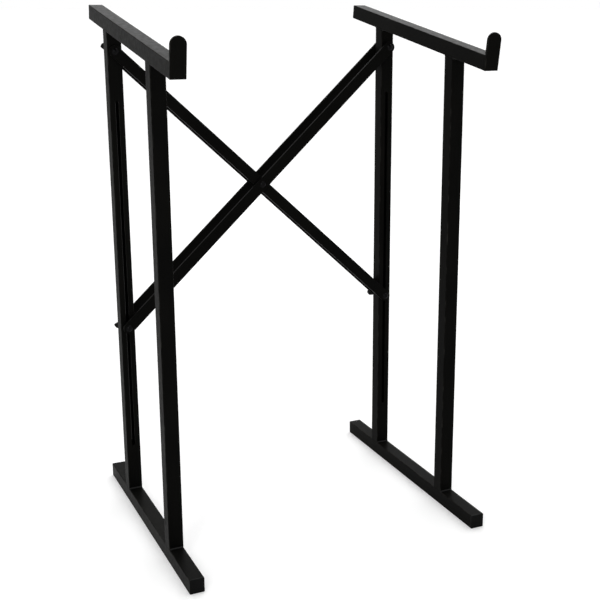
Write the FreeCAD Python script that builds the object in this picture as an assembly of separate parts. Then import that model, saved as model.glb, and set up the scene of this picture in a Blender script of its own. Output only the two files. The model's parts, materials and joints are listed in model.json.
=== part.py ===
import FreeCAD, Part
import math
import os

from FreeCAD import Vector

# Folding mixer stand, in millimetres. +Z is up, -Y is the front, and the floor is at Z = 0.
# Two welded side frames of square box tube carry sloping top rails. Two crossing braces join the
# rear uprights. Each brace is a pair of flat bars, one in front of the uprights and one behind.
# The upper ends turn on bolts, and the lower ends slide in slots, so the stand folds and widens.

# Box tube of the side frames
TUBE = 25.0
TUBE_WALL = 1.5
TUBE_CORNER = 1.2
WELD_LEG = 3.5

# Stance of the side frames
FRAME_SPACING = 523.0
UPRIGHT_SPACING = 258.5
FOOT_REAR_REACH = 118.5
FOOT_FRONT_REACH = 122.0

# Top rails, measured along their slope from the rear upright's axis
RAIL_HEIGHT = 889.0
RAIL_SLOPE = 9.0
RAIL_REAR_REACH = 110.0
RAIL_FRONT_REACH = 381.5
LIP_THICK = 5.0
LIP_RISE = 36.5
LIP_EDGE = 1.0

# Plastic end plugs
PLUG_FLANGE = 2.5
PLUG_CORNER = 1.0
PLUG_DEPTH = 14.0
PLUG_WALL = 1.6
PLUG_FIN_HEIGHT = 1.2
PLUG_FIN_THICK = 0.9
PLUG_FIN_COUNT = 3
PLUG_CLEARANCE = 0.1

# Brace bars, and their upper pivots' drop below the rails' top
BRACE_LENGTH = 715.5
PIVOT_DROP = 59.5
BAR_WIDTH = 20.0
BAR_THICK = 5.0

# Slots of the rear uprights: the top's drop below the pivot, and the bottom's rise above the foot
SLOT_DROP = 84.0
SLOT_RISE = 86.5
SLOT_CLEARANCE = 0.1

# Bolts, spacers, and the sleeve and nut at the crossing
BOLT_DIAMETER = 6.0
BOLT_TAIL = 2.0
RUNNING_CLEARANCE = 0.05
FACE_GAP = 0.2
HEAD_DIAMETER = 12.0
HEAD_HEIGHT = 3.6
HEAD_FLAT = 6.0
SPACER_DIAMETER = 12.0
NUT_SIZE = 10.0
NUT_HEIGHT = 5.0

# Moulded wing nuts, and how far each stands turned from level
WING_HUB_DIAMETER = 14.0
WING_HUB_HEIGHT = 9.5
WING_REACH = 15.0
WING_RISE = 14.0
WING_THICK = 11.0
WING_FOOT = 1.5
WING_TIP = 7.5
WING_TIP_CORNER = 2.5
WING_TURN = {"upper_left": 46.0, "upper_right": -43.0, "lower_left": -45.0, "lower_right": -10.0}

# Places that follow from the sizes above
HALF = TUBE / 2
SLOPE = math.radians(RAIL_SLOPE)
SIDE_X = {"left": -FRAME_SPACING / 2, "right": FRAME_SPACING / 2}
FRONT_REACH = max(
    UPRIGHT_SPACING + FOOT_FRONT_REACH,
    RAIL_FRONT_REACH * math.cos(SLOPE) + LIP_RISE * math.sin(SLOPE),
)
REAR_REACH = max(FOOT_REAR_REACH, RAIL_REAR_REACH * math.cos(SLOPE) + TUBE * math.sin(SLOPE))
REAR_Y = (FRONT_REACH - REAR_REACH) / 2
FRONT_Y = REAR_Y - UPRIGHT_SPACING
PIVOT_HEIGHT = RAIL_HEIGHT - PIVOT_DROP
SLOT_TOP = PIVOT_HEIGHT - SLOT_DROP
SLOT_BOTTOM = TUBE + SLOT_RISE
BRACE_ANGLE = math.degrees(math.asin(FRAME_SPACING / BRACE_LENGTH))
LOWER_HEIGHT = PIVOT_HEIGHT - math.sqrt(BRACE_LENGTH**2 - FRAME_SPACING**2)
CROSSING_HEIGHT = (PIVOT_HEIGHT + LOWER_HEIGHT) / 2
BRACE_END = {
    "upper_left": (SIDE_X["left"], PIVOT_HEIGHT),
    "upper_right": (SIDE_X["right"], PIVOT_HEIGHT),
    "lower_left": (SIDE_X["left"], LOWER_HEIGHT),
    "lower_right": (SIDE_X["right"], LOWER_HEIGHT),
}

# Layers of the braces, as distances from the rear uprights' axes, the same in front and behind
A_INNER = HALF + FACE_GAP
A_OUTER = A_INNER + BAR_THICK
B_INNER = A_OUTER + FACE_GAP
B_OUTER = B_INNER + BAR_THICK

BOLT_RADIUS = BOLT_DIAMETER / 2
RUNNING_RADIUS = BOLT_RADIUS + RUNNING_CLEARANCE
SLOT_RADIUS = BOLT_RADIUS + SLOT_CLEARANCE
X_AXIS = Vector(1, 0, 0)
Y_AXIS = Vector(0, 1, 0)
Z_AXIS = Vector(0, 0, 1)


def placed(shape, x=0.0, y=0.0, z=0.0, axis=Z_AXIS, angle=0.0):
    """The shape turned about an axis through the origin, then shifted."""
    turned = shape.copy()
    turned.rotate(Vector(0, 0, 0), axis, angle)
    turned.translate(Vector(x, y, z))
    return turned


def block(width, depth, height):
    """A box centred on the Z axis, standing on the XY plane."""
    return Part.makeBox(width, depth, height, Vector(-width / 2, -depth / 2, 0))


def prism(points, rise):
    """A straight solid on a flat outline."""
    return Part.Face(Part.makePolygon(points + points[:1])).extrude(rise)


def edges_along(shape, axis):
    """The straight edges of a shape that run along an axis."""
    found = []
    for edge in shape.Edges:
        run = edge.Vertexes[-1].Point - edge.Vertexes[0].Point
        if run.Length > 0 and run.cross(axis).Length < 1e-6 * run.Length:
            found.append(edge)
    return found


def edges_at(shape, axis, height):
    """The edges of a shape that lie in the plane at a height along an axis."""
    found = []
    for edge in shape.Edges:
        box = edge.BoundBox
        low = Vector(box.XMin, box.YMin, box.ZMin).dot(axis)
        high = Vector(box.XMax, box.YMax, box.ZMax).dot(axis)
        if abs(low - height) < 1e-4 and abs(high - height) < 1e-4:
            found.append(edge)
    return found


def rounded_block(size, height, corner):
    """A square block with its upright edges rounded."""
    solid = block(size, size, height)
    return solid.makeFillet(corner, edges_along(solid, Z_AXIS))


def box_tube(length):
    """Square box tube along +Z, with rounded outer corners."""
    bore = TUBE - 2 * TUBE_WALL
    return rounded_block(TUBE, length, TUBE_CORNER).cut(block(bore, bore, length))


def along_y(shape):
    """A shape modelled along +Z, turned to run along +Y."""
    return placed(shape, axis=X_AXIS, angle=-90.0)


def rod(radius, start, end, x, z):
    """A round bar along Y, between two distances behind the rear uprights' axes."""
    return Part.makeCylinder(radius, end - start, Vector(x, REAR_Y + start, z), Y_AXIS)


def ring(diameter, hole_radius, start, end, x, z):
    """A spacer or sleeve along Y, between two distances behind the rear uprights' axes."""
    return rod(diameter / 2, start, end, x, z).cut(rod(hole_radius, start, end, x, z))


def on_rail(shape, side):
    """Places a shape drawn with Y along the rail and Z up from its top face, above the rear upright."""
    return placed(shape, SIDE_X[side], REAR_Y, RAIL_HEIGHT, X_AXIS, RAIL_SLOPE)


def rail_underside(y):
    """Height of the rails' underside at a place from front to rear."""
    return RAIL_HEIGHT + (y - REAR_Y) * math.tan(SLOPE) - TUBE / math.cos(SLOPE)


def foot_tube(side):
    """The tube on the floor, between its two end plugs."""
    length = FOOT_FRONT_REACH + UPRIGHT_SPACING + FOOT_REAR_REACH - 2 * PLUG_FLANGE
    start = FRONT_Y - FOOT_FRONT_REACH + PLUG_FLANGE
    return placed(along_y(box_tube(length)), SIDE_X[side], start, HALF)


def plain_upright(side, y):
    """A tube from the foot's top to the rail's underside, cut to the rail's slope."""
    tube = placed(box_tube(RAIL_HEIGHT), SIDE_X[side], y, TUBE)
    reach = RAIL_FRONT_REACH + RAIL_REAR_REACH
    above = Part.makeBox(2 * TUBE, 2 * reach, RAIL_HEIGHT, Vector(-TUBE, -reach, -TUBE))
    return tube.cut(on_rail(above, side))


def rear_upright(side):
    """The rear upright, with the brace's pivot hole and long slot through its front and rear walls."""
    x = SIDE_X[side]
    low = SLOT_BOTTOM + SLOT_RADIUS
    high = SLOT_TOP - SLOT_RADIUS
    middle = placed(block(2 * SLOT_RADIUS, 2 * TUBE, high - low), x, REAR_Y, low)
    ends = [rod(SLOT_RADIUS, -TUBE, TUBE, x, height) for height in (low, high)]
    pivot = rod(RUNNING_RADIUS, -TUBE, TUBE, x, PIVOT_HEIGHT)
    return plain_upright(side, REAR_Y).cut(middle.fuse(ends)).cut(pivot)


def top_rail(side):
    """The sloping tube that carries the mixer, between the lip and its rear plug."""
    start = LIP_THICK - RAIL_FRONT_REACH
    end = RAIL_REAR_REACH - PLUG_FLANGE
    return on_rail(placed(along_y(box_tube(end - start)), 0, start, -HALF), side)


def lip_plate(side):
    """The round-topped stop plate on the rail's front end, with its front outline broken."""
    straight = LIP_RISE - HALF + TUBE
    plate = placed(block(TUBE, LIP_THICK, straight), 0, LIP_THICK / 2, -TUBE)
    crown = Part.makeCylinder(HALF, LIP_THICK, Vector(0, 0, LIP_RISE - HALF), Y_AXIS)
    plate = plate.fuse(crown).removeSplitter()
    plate = plate.makeChamfer(LIP_EDGE, edges_at(plate, Y_AXIS, 0))
    return on_rail(placed(plate, 0, -RAIL_FRONT_REACH, 0), side)


def end_plug():
    """A plastic plug along +Z: the flange above Z = 0, and the hollow finned stem below it."""
    bore = TUBE - 2 * TUBE_WALL - 2 * PLUG_CLEARANCE
    core = bore - 2 * PLUG_FIN_HEIGHT
    flange = block(TUBE, TUBE, PLUG_FLANGE)
    flange = flange.makeChamfer(PLUG_CORNER, edges_along(flange, Z_AXIS))
    pitch = PLUG_DEPTH / (PLUG_FIN_COUNT + 0.5)
    stem = [placed(block(core, core, PLUG_DEPTH), z=-PLUG_DEPTH)]
    for place in range(PLUG_FIN_COUNT):
        stem.append(placed(block(bore, bore, PLUG_FIN_THICK), z=-(place + 1) * pitch))
    hollow = core - 2 * PLUG_WALL
    return flange.fuse(stem).cut(placed(block(hollow, hollow, PLUG_DEPTH), z=-PLUG_DEPTH))


def foot_front_plug(side):
    """The plug in the front end of the foot."""
    end = FRONT_Y - FOOT_FRONT_REACH + PLUG_FLANGE
    return placed(placed(end_plug(), axis=X_AXIS, angle=90.0), SIDE_X[side], end, HALF)


def foot_rear_plug(side):
    """The plug in the rear end of the foot."""
    return placed(along_y(end_plug()), SIDE_X[side], REAR_Y + FOOT_REAR_REACH - PLUG_FLANGE, HALF)


def rail_plug(side):
    """The plug in the rear end of the top rail."""
    return on_rail(placed(along_y(end_plug()), 0, RAIL_REAR_REACH - PLUG_FLANGE, -HALF), side)


def weld_bead(x, y, z, across, lift):
    """A bead along X in a corner: one leg up or down the upright, one leg across the other tube."""
    width = TUBE - 2 * TUBE_CORNER
    corner = Vector(x - width / 2, y, z)
    foot = corner + across * WELD_LEG
    head = corner + Vector(0, 0, lift * WELD_LEG)
    return Part.Face(Part.makePolygon([corner, foot, head, corner])).extrude(Vector(width, 0, 0))


def welds(side):
    """The beads in front of and behind both uprights, at the foot and under the rail."""
    x = SIDE_X[side]
    beads = []
    for axis_y in (REAR_Y, FRONT_Y):
        for facing in (-1, 1):
            y = axis_y + facing * HALF
            slope = Vector(0, facing * math.cos(SLOPE), facing * math.sin(SLOPE))
            beads.append(weld_bead(x, y, TUBE, Vector(0, facing, 0), 1))
            beads.append(weld_bead(x, y, rail_underside(y), slope, -1))
    return Part.makeCompound(beads)


def brace_bar(end, angle, inner, outer):
    """A round-ended flat bar hung from an upper end, with holes at both ends and at the middle."""
    thick = outer - inner
    bar = placed(block(BAR_WIDTH, thick, BRACE_LENGTH), z=-BRACE_LENGTH)
    tips = []
    holes = []
    for down in (0.0, BRACE_LENGTH / 2, BRACE_LENGTH):
        start = Vector(0, -thick / 2, -down)
        tips.append(Part.makeCylinder(BAR_WIDTH / 2, thick, start, Y_AXIS))
        holes.append(Part.makeCylinder(RUNNING_RADIUS, thick, start, Y_AXIS))
    bar = bar.fuse([tips[0], tips[-1]]).removeSplitter().cut(holes)
    x, z = BRACE_END[end]
    return placed(bar, x, REAR_Y + (inner + outer) / 2, z, Y_AXIS, angle)


def bolt(x, z, seat, tail):
    """A domed-head bolt along Y: the head's seat in front of the uprights, the tail behind them."""
    dome = Part.makeCone(HEAD_DIAMETER / 2, HEAD_FLAT / 2, HEAD_HEIGHT)
    head = placed(dome, x, REAR_Y - seat, z, X_AXIS, 90.0)
    return rod(BOLT_RADIUS, -seat, tail, x, z).fuse(head)


def hexagon_nut(x, z, seat):
    """The hexagonal nut behind the crossing."""
    radius = NUT_SIZE / math.sqrt(3)
    corners = []
    for step in range(6):
        turn = math.radians(60 * step)
        corners.append(Vector(radius * math.cos(turn), radius * math.sin(turn), 0))
    nut = prism(corners, Vector(0, 0, NUT_HEIGHT))
    nut = nut.cut(Part.makeCylinder(RUNNING_RADIUS, NUT_HEIGHT))
    return placed(along_y(nut), x, REAR_Y + seat, z)


def wing():
    """One thick wing of a nut along +X, rising outward from the hub, with its tip's corners cut."""
    half = WING_THICK / 2
    cut = WING_TIP_CORNER
    shoulder = WING_HUB_DIAMETER / 2
    side_view = [
        Vector(0, -half, WING_FOOT),
        Vector(shoulder, -half, WING_FOOT),
        Vector(WING_REACH, -half, WING_RISE - WING_TIP),
        Vector(WING_REACH, -half, WING_RISE - cut),
        Vector(WING_REACH - cut, -half, WING_RISE),
        Vector(WING_REACH - 2 * cut, -half, WING_RISE),
        Vector(shoulder, -half, WING_HUB_HEIGHT),
        Vector(0, -half, WING_HUB_HEIGHT),
    ]
    plan = [
        Vector(0, -half, 0),
        Vector(WING_REACH - cut, -half, 0),
        Vector(WING_REACH, cut - half, 0),
        Vector(WING_REACH, half - cut, 0),
        Vector(WING_REACH - cut, half, 0),
        Vector(0, half, 0),
    ]
    return prism(side_view, Vector(0, WING_THICK, 0)).common(prism(plan, Vector(0, 0, WING_RISE)))


def wing_nut(end, outer):
    """A wing nut behind an end of a brace, turned as it stands."""
    hub = Part.makeCylinder(WING_HUB_DIAMETER / 2, WING_HUB_HEIGHT)
    nut = hub.fuse([wing(), placed(wing(), angle=180.0)]).removeSplitter()
    nut = nut.cut(Part.makeCylinder(RUNNING_RADIUS, WING_HUB_HEIGHT))
    x, z = BRACE_END[end]
    nut = placed(along_y(nut), axis=Y_AXIS, angle=WING_TURN[end])
    return placed(nut, x, REAR_Y + outer + FACE_GAP, z)


def end_bolt(end, outer):
    """The bolt through an end of a brace, long enough for its wing nut."""
    x, z = BRACE_END[end]
    return bolt(x, z, outer, outer + FACE_GAP + WING_HUB_HEIGHT + BOLT_TAIL)


def spacers(end):
    """The rings on an end of brace B that keep its bars off the upright, one in front and one behind."""
    x, z = BRACE_END[end]
    near = HALF + FACE_GAP
    return [
        ring(SPACER_DIAMETER, RUNNING_RADIUS, -B_INNER, -near, x, z),
        ring(SPACER_DIAMETER, RUNNING_RADIUS, near, B_INNER, x, z),
    ]


def brace_a():
    """The inner brace, from the upper left to the lower right, and the hardware that moves with it."""
    bolts = [end_bolt("upper_left", A_OUTER), end_bolt("lower_right", A_OUTER)]
    return {
        "brace_a_front_bar": brace_bar("upper_left", -BRACE_ANGLE, -A_OUTER, -A_INNER),
        "brace_a_rear_bar": brace_bar("upper_left", -BRACE_ANGLE, A_INNER, A_OUTER),
        "brace_a_bolts": Part.makeCompound(bolts),
        "crossing_sleeve": ring(SPACER_DIAMETER, SLOT_RADIUS, -A_INNER, A_INNER, 0, CROSSING_HEIGHT),
        "upper_left_wing_nut": wing_nut("upper_left", A_OUTER),
        "lower_right_wing_nut": wing_nut("lower_right", A_OUTER),
    }


def brace_b():
    """The outer brace, from the upper right to the lower left, and the hardware that moves with it."""
    crossing_bolt = bolt(0, CROSSING_HEIGHT, B_OUTER, B_OUTER + NUT_HEIGHT + BOLT_TAIL)
    bolts = [end_bolt("upper_right", B_OUTER), end_bolt("lower_left", B_OUTER), crossing_bolt]
    return {
        "brace_b_front_bar": brace_bar("upper_right", BRACE_ANGLE, -B_OUTER, -B_INNER),
        "brace_b_rear_bar": brace_bar("upper_right", BRACE_ANGLE, B_INNER, B_OUTER),
        "brace_b_bolts": Part.makeCompound(bolts),
        "brace_b_spacers": Part.makeCompound(spacers("upper_right") + spacers("lower_left")),
        "crossing_nut": hexagon_nut(0, CROSSING_HEIGHT, B_OUTER),
        "upper_right_wing_nut": wing_nut("upper_right", B_OUTER),
        "lower_left_wing_nut": wing_nut("lower_left", B_OUTER),
    }


def side_frame(side):
    """All the pieces of one welded side frame."""
    return {
        side + "_foot_tube": foot_tube(side),
        side + "_rear_upright": rear_upright(side),
        side + "_front_upright": plain_upright(side, FRONT_Y),
        side + "_top_rail": top_rail(side),
        side + "_lip_plate": lip_plate(side),
        side + "_foot_front_plug": foot_front_plug(side),
        side + "_foot_rear_plug": foot_rear_plug(side),
        side + "_rail_plug": rail_plug(side),
        side + "_welds": welds(side),
    }


def build():
    """Builds every piece and writes it to its own file."""
    os.makedirs("parts", exist_ok=True)
    pieces = {}
    for side in SIDE_X:
        pieces.update(side_frame(side))
    pieces.update(brace_a())
    pieces.update(brace_b())
    for name, shape in pieces.items():
        shape.exportStep("parts/" + name + ".step")


build()
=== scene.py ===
import json
import math
from collections import namedtuple

import bmesh
import bpy
from bpy.props import FloatProperty, FloatVectorProperty, IntProperty, PointerProperty
from mathutils import Matrix, Vector


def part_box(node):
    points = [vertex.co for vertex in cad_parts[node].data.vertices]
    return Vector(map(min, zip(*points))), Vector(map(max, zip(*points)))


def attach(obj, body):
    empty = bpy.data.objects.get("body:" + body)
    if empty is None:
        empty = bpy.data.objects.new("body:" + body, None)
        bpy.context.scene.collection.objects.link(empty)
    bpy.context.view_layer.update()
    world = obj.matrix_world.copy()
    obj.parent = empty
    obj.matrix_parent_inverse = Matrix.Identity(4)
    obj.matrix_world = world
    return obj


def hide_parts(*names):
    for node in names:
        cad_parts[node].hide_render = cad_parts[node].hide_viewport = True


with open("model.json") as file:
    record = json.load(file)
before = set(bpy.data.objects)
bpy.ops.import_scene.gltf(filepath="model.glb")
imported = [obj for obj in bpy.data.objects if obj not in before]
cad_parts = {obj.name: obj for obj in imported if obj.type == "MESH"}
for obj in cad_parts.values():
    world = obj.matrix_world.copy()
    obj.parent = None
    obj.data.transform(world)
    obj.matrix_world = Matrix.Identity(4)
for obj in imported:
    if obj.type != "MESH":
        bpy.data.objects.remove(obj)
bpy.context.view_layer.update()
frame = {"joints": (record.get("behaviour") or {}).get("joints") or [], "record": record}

bl_info = {
    "name": "Mixer stand",
    "version": (1, 0, 0),
    "blender": (4, 5, 0),
    "location": "View3D > Sidebar > Stand",
    "description": "Dresses a folding mixer stand: coated tubes and bars, moulded plugs, plated hardware",
    "category": "Object",
}

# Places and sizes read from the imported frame, in metres
MM = 0.001
SIDES = ("left", "right")
ENDS = ("upper_left", "upper_right", "lower_left", "lower_right")
JOINT_AT = {joint["name"]: Vector(joint["pos_m"]) for joint in frame["joints"]}
MOUNT = {mount["name"]: mount for mount in frame["record"]["mounts"]}
SIDE_X = {"left": JOINT_AT["fold"].x, "right": JOINT_AT["right_pivot"].x}
SPACING = SIDE_X["right"] - SIDE_X["left"]
END_AT = {end: JOINT_AT[end + "_nut_turn"] for end in ENDS}
CROSSING = JOINT_AT["crossing_pivot"]
REAR_Y = CROSSING.y
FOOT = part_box("left_foot_tube")
TUBE = FOOT[1].z - FOOT[0].z
HALF = TUBE / 2
RAIL_NORMAL = Vector(MOUNT["left_rail_top"]["axis"])
SLOPE = math.atan2(-RAIL_NORMAL.y, RAIL_NORMAL.z)
RAIL_MARK = Vector(MOUNT["left_rail_top"]["pos_m"])
RAIL_HEIGHT = RAIL_MARK.z + (REAR_Y - RAIL_MARK.y) * math.tan(SLOPE)
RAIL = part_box("left_top_rail")
RAIL_START = (RAIL[0].y - REAR_Y) / math.cos(SLOPE)
RAIL_END = (RAIL[1].y - REAR_Y - TUBE * math.sin(SLOPE)) / math.cos(SLOPE)
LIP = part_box("left_lip_plate")
LIP_RISE = (LIP[1].z - RAIL_HEIGHT - RAIL_START * math.sin(SLOPE)) / math.cos(SLOPE)
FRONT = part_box("left_front_upright")
FRONT_Y = (FRONT[0].y + FRONT[1].y) / 2
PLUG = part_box("left_foot_front_plug")
FLANGE = FOOT[0].y - PLUG[0].y
BAR_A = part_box("brace_a_rear_bar")
BAR_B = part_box("brace_b_rear_bar")
BAR_WIDTH = (BAR_A[1].x - BAR_A[0].x) - SPACING
BAR_LENGTH = (END_AT["upper_left"] - END_AT["lower_right"]).length
BAR_ANGLE = math.asin(SPACING / BAR_LENGTH)
BRACE_OF = {"upper_left": "a", "lower_right": "a", "upper_right": "b", "lower_left": "b"}
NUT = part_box("crossing_nut")
NUT_HEIGHT = NUT[1].y - NUT[0].y

# How far the inner and outer faces of each brace's bars stand from the rear uprights' middle
INNER = {"a": BAR_A[0].y - REAR_Y, "b": BAR_B[0].y - REAR_Y}
SEAT = {"a": BAR_A[1].y - REAR_Y, "b": BAR_B[1].y - REAR_Y}

# Room round a bolt in a hole or ring, and the least length that counts
BOLT_GAP = 0.05 * MM
TINY = 1e-7


class TubeSizes(bpy.types.PropertyGroup):
    """Sizes of the box tube, its lips and its welds."""

    wall: FloatProperty(
        name="Wall", description="Thickness of the tube's wall",
        default=1.5 * MM, min=0.5 * MM, max=4 * MM, unit="LENGTH", precision=4,
    )
    corner: FloatProperty(
        name="Corner", description="Outer radius of the tube's corners",
        default=1.2 * MM, min=0.4 * MM, max=6 * MM, unit="LENGTH", precision=4,
    )
    corner_steps: IntProperty(
        name="Corner steps", description="Faces round each corner of the tube", default=5, min=2, max=16,
    )
    slot_radius: FloatProperty(
        name="Slot radius", description="Half the width of the long slots",
        default=3.02 * MM, min=2 * MM, max=8 * MM, unit="LENGTH", precision=4,
    )
    slot_top: FloatProperty(
        name="Slot top", description="Height of the slots' upper end",
        default=0.7455, min=0.4, max=0.8, unit="LENGTH",
    )
    slot_bottom: FloatProperty(
        name="Slot bottom", description="Height of the slots' lower end",
        default=0.1115, min=0.03, max=0.32, unit="LENGTH",
    )
    lip_thick: FloatProperty(
        name="Lip thickness", description="Thickness of the stop plates",
        default=5 * MM, min=2 * MM, max=10 * MM, unit="LENGTH", precision=4,
    )
    bead_radius: FloatProperty(
        name="Bead radius", description="Radius of the weld beads",
        default=2.6 * MM, min=1 * MM, max=5 * MM, unit="LENGTH", precision=4,
    )
    bead_ripples: IntProperty(
        name="Bead ripples", description="Ripples along each weld bead", default=11, min=3, max=30,
    )


class HardwareSizes(bpy.types.PropertyGroup):
    """Sizes of the bolts, rings and nuts."""

    bolt_radius: FloatProperty(
        name="Bolt radius", description="Outer radius of the bolts",
        default=3 * MM, min=1.5 * MM, max=6 * MM, unit="LENGTH", precision=4,
    )
    head_radius: FloatProperty(
        name="Head radius", description="Radius of the domed heads",
        default=6 * MM, min=4 * MM, max=12 * MM, unit="LENGTH", precision=4,
    )
    head_height: FloatProperty(
        name="Head height", description="Height of the domed heads",
        default=3.6 * MM, min=2 * MM, max=8 * MM, unit="LENGTH", precision=4,
    )
    thread_pitch: FloatProperty(
        name="Thread pitch", description="Rise of the thread in one turn",
        default=1 * MM, min=0.5 * MM, max=3 * MM, unit="LENGTH", precision=5,
    )
    bolt_tail: FloatProperty(
        name="Bolt tail", description="Length of bolt past its nut",
        default=2 * MM, min=0, max=10 * MM, unit="LENGTH", precision=4,
    )
    ring_radius: FloatProperty(
        name="Ring radius", description="Outer radius of the spacer rings and the sleeve",
        default=6 * MM, min=4 * MM, max=12 * MM, unit="LENGTH", precision=4,
    )
    hub_height: FloatProperty(
        name="Hub height", description="Height of the wing nuts' hubs",
        default=9.5 * MM, min=4 * MM, max=16 * MM, unit="LENGTH", precision=4,
    )
    nut_size: FloatProperty(
        name="Nut size", description="Width of the hexagonal nut across its flats",
        default=10 * MM, min=7 * MM, max=20 * MM, unit="LENGTH", precision=4,
    )


class Finishes(bpy.types.PropertyGroup):
    """Colours of the three finishes and of the floor."""

    coat: FloatVectorProperty(
        name="Coat", description="Satin black powder coat", subtype="COLOR",
        size=3, default=(0.0042, 0.0042, 0.0039), min=0, max=1,
    )
    plastic: FloatVectorProperty(
        name="Plastic", description="Moulded black plastic", subtype="COLOR",
        size=3, default=(0.0052, 0.0053, 0.0052), min=0, max=1,
    )
    plating: FloatVectorProperty(
        name="Plating", description="Black zinc plate", subtype="COLOR",
        size=3, default=(0.003, 0.003, 0.0032), min=0, max=1,
    )
    floor: FloatVectorProperty(
        name="Floor", description="Pale studio floor", subtype="COLOR",
        size=3, default=(0.86, 0.86, 0.86), min=0, max=1,
    )


class StandSettings(bpy.types.PropertyGroup):
    """All that a user can change on the stand."""

    tubes: PointerProperty(
        type=TubeSizes, name="Tubes", description="Sizes of the box tube, its lips and its welds",
    )
    hardware: PointerProperty(
        type=HardwareSizes, name="Hardware", description="Sizes of the bolts, rings and nuts",
    )
    finishes: PointerProperty(
        type=Finishes, name="Finishes", description="Colours of the finishes and of the floor",
    )


# Finishes

# The colour's name in Finishes, the scale and detail of its clouds, its darker and lighter factor with
# a tint, the scale, range and share of the lighter patches on eased edges, the factor and tint of those
# edges, which stand for wear and a painted highlight, the scale and detail of glossier patches, the
# range of roughness, and the scale, detail, depth and strength of the bumps
Look = namedtuple("Look", "colour clouds shades rubbing worn patches roughness bumps ior")
PLAIN = (1.0, 1.0, 1.0)
COAT = Look(
    colour="coat", clouds=(9.0, 3.0), shades=(0.86, 1.18, (1.02, 1.0, 0.96)),
    rubbing=(60.0, 0.46, 0.72, 0.7), worn=(7.0, (1.0, 0.98, 0.94)), patches=(140.0, 4.0),
    roughness=(0.32, 0.42), bumps=(850.0, 2.0, 0.12 * MM, 0.22), ior=1.055,
)
LOOKS = {
    # Powder coat: near black, finely pebbled, lighter on the edges where it wears thin and where a
    # highlight is painted
    "satin_black_coat": COAT,
    # The same coat, smoother and glossier on the ripples of the welds
    "coat_over_welds": COAT._replace(roughness=(0.16, 0.26), ior=1.22),
    # Moulded plastic with a fine matt grain
    "moulded_black_plastic": Look(
        colour="plastic", clouds=(40.0, 2.0), shades=(0.88, 1.2, PLAIN),
        rubbing=(120.0, 0.45, 0.7, 0.6), worn=(3.4, PLAIN), patches=(260.0, 3.0),
        roughness=(0.36, 0.5), bumps=(2400.0, 2.0, 0.08 * MM, 0.3), ior=1.1,
    ),
    # Zinc plate: smooth, with a gloss on the domes
    "black_zinc_plate": Look(
        colour="plating", clouds=(160.0, 3.0), shades=(0.7, 1.25, (1.0, 0.99, 1.05)),
        rubbing=(300.0, 0.42, 0.68, 0.7), worn=(6.0, (1.0, 0.98, 0.95)), patches=(420.0, 3.0),
        roughness=(0.08, 0.18), bumps=(1500.0, 3.0, 0.05 * MM, 0.2), ior=1.13,
    ),
}

# Each kind of piece with the record's slot and the look that it takes
KINDS = {
    "coated": ("black_paint", "satin_black_coat"),
    "moulded": ("black_plastic", "moulded_black_plastic"),
    "plated": ("black_hardware", "black_zinc_plate"),
}
# Faces on eased edges get a lighter tone that stands for wear of the finish and for a painted highlight
# along the edges
WEAR_AND_HIGHLIGHT_LAYER = "rubbed_edge"
CLOUD_RANGE = (0.35, 0.65)
PATCH_RANGE = (0.3, 0.7)
WEAR_AND_HIGHLIGHT_DETAIL = 4.0


def add_node(tree, kind, place, **settings):
    """Adds a node to a tree and sets its options."""
    made = tree.nodes.new(kind)
    made.location = place
    for name, value in settings.items():
        setattr(made, name, value)
    return made


def feed(tree, value, socket):
    """Links a node's output to a socket, or sets the socket to a constant."""
    if isinstance(value, bpy.types.NodeSocket):
        tree.links.new(value, socket)
    else:
        socket.default_value = value


def grain(tree, place, points, scale, detail):
    """Noise over the piece's own coordinates, with features about 1 / scale metres across."""
    made = add_node(tree, "ShaderNodeTexNoise", place)
    made.inputs["Scale"].default_value = scale
    made.inputs["Detail"].default_value = detail
    tree.links.new(points, made.inputs["Vector"])
    return made.outputs["Fac"]


def spread(tree, place, value, source, target):
    """Maps a value from one range to another, held within the second."""
    made = add_node(tree, "ShaderNodeMapRange", place)
    made.inputs["From Min"].default_value, made.inputs["From Max"].default_value = source
    made.inputs["To Min"].default_value, made.inputs["To Max"].default_value = target
    tree.links.new(value, made.inputs["Value"])
    return made.outputs["Result"]


def combine(tree, place, operation, first, second):
    """Works on two values, each a node's output or a constant."""
    made = add_node(tree, "ShaderNodeMath", place, operation=operation)
    feed(tree, first, made.inputs[0])
    feed(tree, second, made.inputs[1])
    return made.outputs["Value"]


def blend_colours(tree, place, share, first, second):
    """Mixes two colours, each a node's output or a constant, by a share."""
    made = add_node(tree, "ShaderNodeMix", place, data_type="RGBA")
    tree.links.new(share, made.inputs["Factor"])
    for name, colour in (("A", first), ("B", second)):
        socket = [s for s in made.inputs if s.name == name and s.type == "RGBA"][0]
        feed(tree, colour, socket)
    return [s for s in made.outputs if s.type == "RGBA"][0]


def tone(colour, factor, tint=PLAIN):
    """A colour made lighter or darker, with a slight tint."""
    return (*(min(1.0, value * factor * shade) for value, shade in zip(colour, tint)), 1.0)


def wear_and_highlight_share(tree, points, scale, low, high, most):
    """Where the finish is lighter on eased edges, in patches: wear, and a painted highlight."""
    edge = add_node(tree, "ShaderNodeAttribute", (-1100, 420), attribute_name=WEAR_AND_HIGHLIGHT_LAYER)
    patches = grain(tree, (-1300, 260), points, scale, WEAR_AND_HIGHLIGHT_DETAIL)
    patchy = spread(tree, (-1100, 220), patches, (low, high), (0.0, most))
    return combine(tree, (-900, 320), "MULTIPLY", edge.outputs["Fac"], patchy)


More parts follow.
